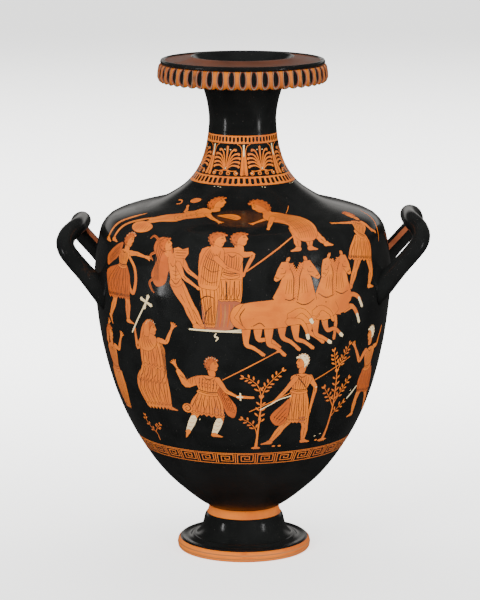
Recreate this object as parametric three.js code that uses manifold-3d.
import * as THREE from 'three';
import { mergeVertices } from 'three/addons/utils/BufferGeometryUtils.js';
import Module from 'manifold-3d';

// Fired clay water jar with three handles, thrown in sections and joined into one piece.
// Millimetres, +Z up, the front of the jar facing -Y, the foot standing on z = 0 round the axis.

// Driving dimensions
const HEIGHT = 620;
const WALL_THICKNESS = 6;
const SIDES = 48;
const HOLLOW_SIDES = 40;

const FOOT_RADIUS = 83.6;
const REST_INNER_RADIUS = 68;
const REST_OUTER_RADIUS = 80.5;
const RECESS_HEIGHT = 34;
const FLOOR_HEIGHT = 64;

const BELLY_RADIUS = 184.2;
const NECK_RADIUS = 41.3;
const COLLAR_RADIUS = 104.6;
const LIP_RADIUS = 101.2;
const MOUTH_RADIUS = 60.8;

const TONGUES = 48;
const COLUMNS_PER_TONGUE = 4;
const COLLAR_FOOT = 588.4;
const COLLAR_TOP = 610.6;

const HANDLE_REACH = 229;
const HANDLE_TUBE_RADIUS = 11;
const HANDLE_SPREAD = 70;
const HANDLE_FLARE = 5;
const HANDLE_STEPS = 21;
const HANDLE_SIDES = 10;
const HANDLE_HEIGHT_OFFSET = 5.5;
const LEFT_HANDLE_TURN = THREE.MathUtils.degToRad(-5);
const RIGHT_HANDLE_TURN = THREE.MathUtils.degToRad(0.6);

const BACK_HANDLE_HALF_WIDTH = 13;
const BACK_HANDLE_HALF_DEPTH = 8.5;

// Outline of the recess under the foot, as [radius, height]
const RECESS_OUTLINE = [
  [24, RECESS_HEIGHT - 2],
  [48, 20],
  [62, 6],
];

// Outline of the foot, from the resting ring up to the reserved fillet
const FOOT_OUTLINE = [
  [REST_INNER_RADIUS, 0],
  [REST_OUTER_RADIUS, 0],
  [FOOT_RADIUS - 0.4, 3.5],
  [FOOT_RADIUS, 9.5],
  [FOOT_RADIUS - 4.2, 15],
  [66.5, 14.8],
  [62.5, 17.4],
  [56, 21.5],
  [51.6, 30],
  [49.2, 40],
  [47, 44.4],
];

// Outline of the reserved fillet, belly, shoulder and neck
const BODY_OUTLINE = [
  [46, 45.6],
  [43.8, 54.8],
  [52.8, 60.8],
  [70.6, 74.4],
  [97.6, 99.2],
  [117.3, 124],
  [140.1, 161.2],
  [156.4, 198.4],
  [167.9, 235.6],
  [176.1, 272.8],
  [181.3, 310],
  [BELLY_RADIUS, 347.2],
  [181.6, 378.2],
  [178.2, 398],
  [174.6, 411],
  [165.5, 422.5],
  [149, 429.6],
  [134.1, 434],
  [101, 443.3],
  [84.6, 452.6],
  [71.2, 461.9],
  [59.9, 474.3],
  [51.1, 489.8],
  [45.3, 508.4],
  [42.2, 527],
  [NECK_RADIUS, 545.6],
  [43.8, 564.2],
  [49.2, 582.8],
];

// Outline of the mouth, between its underside and the collar, and from the lip to the throat
const MOUTH_UNDERSIDE = [58, 590.6];
const LIP_OUTLINE = [
  [LIP_RADIUS, 612.4],
  [LIP_RADIUS - 2, 616.4],
  [95.6, 614.4],
  [80, 616.2],
  [63.4, HEIGHT],
];

// Hollow of the jar between the floor and the throat
const FLOOR_EDGE_RADIUS = 38;
const HOLLOW_START = 3;
const THROAT_OUTLINE = [
  [37.4, 568],
  [43.6, 592],
  [54.5, 612],
  [MOUTH_RADIUS, HEIGHT],
  [MOUTH_RADIUS, HEIGHT + 12],
  [0, HEIGHT + 12],
];

// The tongues of the collar, as [radius, height, share of the relief] from the foot up
const COLLAR_ROWS = [
  [COLLAR_RADIUS - 3.6, COLLAR_FOOT, 0.6],
  [COLLAR_RADIUS - 0.6, 593, 1],
  [COLLAR_RADIUS - 0.4, 603, 1],
  [COLLAR_RADIUS - 3, COLLAR_TOP - 0.8, 0.4],
];
const TONGUE_RELIEF = [-1.6, 0.7, -1.9, 0.7];
const TONGUE_LIFT = [2.4, 0.7, 0, 0.7];

// Centre line of half a side handle, as [reach, spread, height] from the wall to the crest
const SIDE_HANDLE_LINE = [
  [150, HANDLE_SPREAD, 324],
  [163, HANDLE_SPREAD, 335],
  [178, HANDLE_SPREAD, 350],
  [192.5, HANDLE_SPREAD, 366],
  [205, HANDLE_SPREAD - 1, 380],
  [214, HANDLE_SPREAD - 4, 391],
  [217.5, HANDLE_SPREAD - 10, 400.5],
  [215, HANDLE_SPREAD - 20, 408.5],
  [210, HANDLE_SPREAD - 34, 413],
  [207.5, HANDLE_SPREAD - 52, 414.6],
];

// Centre line of the back handle, as [distance behind the axis, height] from the neck down
const BACK_HANDLE_LINE = [
  [30, 549],
  [44, 556.5],
  [60, 564],
  [76, 564],
  [88, 552],
  [92.5, 530],
  [93, 505],
  [95, 480],
  [101, 456],
  [110, 434],
  [114, 424],
];

const wasm = await Module();
wasm.setup();

function toSolid(geometry) {
  geometry.deleteAttribute('normal');
  geometry.deleteAttribute('uv');
  const merged = mergeVertices(geometry, 1e-4);
  const corners = Array.from(merged.index.array);
  const faces = [];
  for (let i = 0; i < corners.length; i += 3) {
    const [a, b, c] = corners.slice(i, i + 3);
    if (a !== b && b !== c && c !== a) {
      faces.push(a, b, c);
    }
  }
  return new wasm.Manifold(new wasm.Mesh({
    numProp: 3,
    vertProperties: new Float32Array(merged.attributes.position.array),
    triVerts: new Uint32Array(faces),
  }));
}

function toGeometry(solid) {
  const mesh = solid.getMesh();
  const geometry = new THREE.BufferGeometry();
  geometry.setAttribute('position', new THREE.BufferAttribute(mesh.vertProperties, 3));
  geometry.setIndex(new THREE.BufferAttribute(mesh.triVerts, 1));
  return geometry;
}

function meshFrom(positions, faces) {
  const geometry = new THREE.BufferGeometry();
  geometry.setAttribute('position', new THREE.Float32BufferAttribute(positions, 3));
  geometry.setIndex(faces);
  return geometry;
}

// Smooth curve through the stations of an outline
function smooth(stations) {
  const curve = new THREE.SplineCurve(stations.map(([r, z]) => new THREE.Vector2(r, z)));
  return curve.getPoints(stations.length - 1).map((point) => point.toArray());
}

// One ring of points round the axis; the relief moves a column out and up, as [out, up]
function ringAt(radius, height, columns, relief = () => [0, 0]) {
  const ring = [];
  for (let column = 0; column < columns; column++) {
    const angle = 2 * Math.PI * column / columns;
    const [out, up] = relief(column);
    const r = radius + out;
    ring.push([r * Math.cos(angle), r * Math.sin(angle), height + up]);
  }
  return ring;
}

// Moulded tongues of the collar: a ridge each side of a hollow, and a dart between
function tongueRing([radius, height, share], row) {
  return ringAt(radius, height, TONGUES * COLUMNS_PER_TONGUE, (column) => {
    const phase = column % COLUMNS_PER_TONGUE;
    return [share * TONGUE_RELIEF[phase], row === 0 ? TONGUE_LIFT[phase] : 0];
  });
}

// Skin through rings from the bottom up, where a coarse ring may meet a finer one
function skin(rings) {
  const positions = rings.flat(2);
  const faces = [];
  let start = 0;
  for (let i = 0; i < rings.length - 1; i++) {
    const low = rings[i].length;
    const high = rings[i + 1].length;
    const fine = Math.max(low, high);
    const lowPoint = (column) => start + Math.round(column * low / fine) % low;
    const highPoint = (column) => start + low + Math.round(column * high / fine) % high;
    for (let column = 0; column < fine; column++) {
      faces.push(lowPoint(column), lowPoint(column + 1), highPoint(column + 1));
      faces.push(lowPoint(column), highPoint(column + 1), highPoint(column));
    }
    start += low;
  }
  return meshFrom(positions, faces);
}

function vessel() {
  const plain = ([radius, height]) => ringAt(radius, height, SIDES);
  return skin([
    ringAt(0, RECESS_HEIGHT, 1),
    ...RECESS_OUTLINE.map(plain),
    ...FOOT_OUTLINE.map(plain),
    ...smooth(BODY_OUTLINE).map(plain),
    plain(MOUTH_UNDERSIDE),
    ...COLLAR_ROWS.map(tongueRing),
    ...LIP_OUTLINE.map(plain),
    ringAt(0, HEIGHT, 1),
  ]);
}

// The hollow follows the outside at one wall's thickness, above a thicker floor
function hollow() {
  const outside = smooth(BODY_OUTLINE).map(([r, z]) => new THREE.Vector2(r, z));
  const points = [new THREE.Vector2(0, FLOOR_HEIGHT), new THREE.Vector2(FLOOR_EDGE_RADIUS, FLOOR_HEIGHT + 3)];
  for (let i = HOLLOW_START; i < outside.length - 2; i++) {
    const along = outside[i + 1].clone().sub(outside[i - 1]).normalize();
    const inward = new THREE.Vector2(-along.y, along.x);
    points.push(outside[i].clone().addScaledVector(inward, WALL_THICKNESS));
  }
  points.push(...THROAT_OUTLINE.map(([r, z]) => new THREE.Vector2(r, z)));
  const lathe = new THREE.LatheGeometry(points, HOLLOW_SIDES);
  lathe.rotateX(Math.PI / 2);
  return lathe;
}

// Sweeps an oval along a curve; halfSizes gives its two half axes at each share of the length
function sweep(curve, halfSizes) {
  const frames = curve.computeFrenetFrames(HANDLE_STEPS, false);
  const positions = [];
  const faces = [];
  for (let step = 0; step <= HANDLE_STEPS; step++) {
    const share = step / HANDLE_STEPS;
    const centre = curve.getPointAt(share);
    const [halfDepth, halfWidth] = halfSizes(share);
    for (let side = 0; side < HANDLE_SIDES; side++) {
      const angle = 2 * Math.PI * side / HANDLE_SIDES;
      const point = centre.clone();
      point.addScaledVector(frames.normals[step], halfDepth * Math.cos(angle));
      point.addScaledVector(frames.binormals[step], halfWidth * Math.sin(angle));
      positions.push(...point.toArray());
    }
  }
  for (let step = 0; step < HANDLE_STEPS; step++) {
    for (let side = 0; side < HANDLE_SIDES; side++) {
      const next = (side + 1) % HANDLE_SIDES;
      const a = step * HANDLE_SIDES + side;
      const b = step * HANDLE_SIDES + next;
      faces.push(a, b, b + HANDLE_SIDES, a, b + HANDLE_SIDES, a + HANDLE_SIDES);
    }
  }
  const last = HANDLE_STEPS * HANDLE_SIDES;
  for (let side = 1; side < HANDLE_SIDES - 1; side++) {
    faces.push(0, side + 1, side);
    faces.push(last, last + side, last + side + 1);
  }
  return meshFrom(positions, faces);
}

// The tube swells where it is luted to the wall
function flare(share) {
  const fromRoot = Math.min(share, 1 - share);
  return HANDLE_FLARE * THREE.MathUtils.smoothstep(0.2 - fromRoot, 0, 0.2);
}

function sideHandle(direction, turn, rise) {
  const near = SIDE_HANDLE_LINE.map(([x, y, z]) => new THREE.Vector3(x, -y, z));
  const far = SIDE_HANDLE_LINE.map(([x, y, z]) => new THREE.Vector3(x, y, z)).reverse();
  const curve = new THREE.CatmullRomCurve3([...near, ...far], false, 'centripetal');
  const tube = sweep(curve, (share) => {
    const radius = HANDLE_TUBE_RADIUS + flare(share);
    return [radius, radius];
  });
  if (direction < 0) {
    tube.rotateZ(Math.PI);
  }
  tube.rotateZ(turn);
  tube.computeBoundingBox();
  const reach = direction < 0 ? -tube.boundingBox.min.x : tube.boundingBox.max.x;
  tube.translate(direction * (HANDLE_REACH - reach), 0, rise);
  return tube;
}

function backHandle() {
  const points = BACK_HANDLE_LINE.map(([y, z]) => new THREE.Vector3(0, y, z));
  const curve = new THREE.CatmullRomCurve3(points, false, 'centripetal');
  return sweep(curve, (share) => {
    const swelling = flare(share);
    return [BACK_HANDLE_HALF_DEPTH + swelling, BACK_HANDLE_HALF_WIDTH + swelling];
  });
}

let clay = toSolid(vessel());
clay = clay.add(toSolid(sideHandle(-1, LEFT_HANDLE_TURN, -HANDLE_HEIGHT_OFFSET)));
clay = clay.add(toSolid(sideHandle(1, RIGHT_HANDLE_TURN, HANDLE_HEIGHT_OFFSET)));
clay = clay.add(toSolid(backHandle()));
clay = clay.subtract(toSolid(hollow()));

const glossySlip = new THREE.MeshStandardMaterial({ color: 0x17191a, roughness: 0.3, metalness: 0 });

const jar = new THREE.Mesh(toGeometry(clay), glossySlip);
jar.name = 'hydria';

const part = new THREE.Group();
part.name = 'terracotta_hydria';
part.add(jar);

export default part;
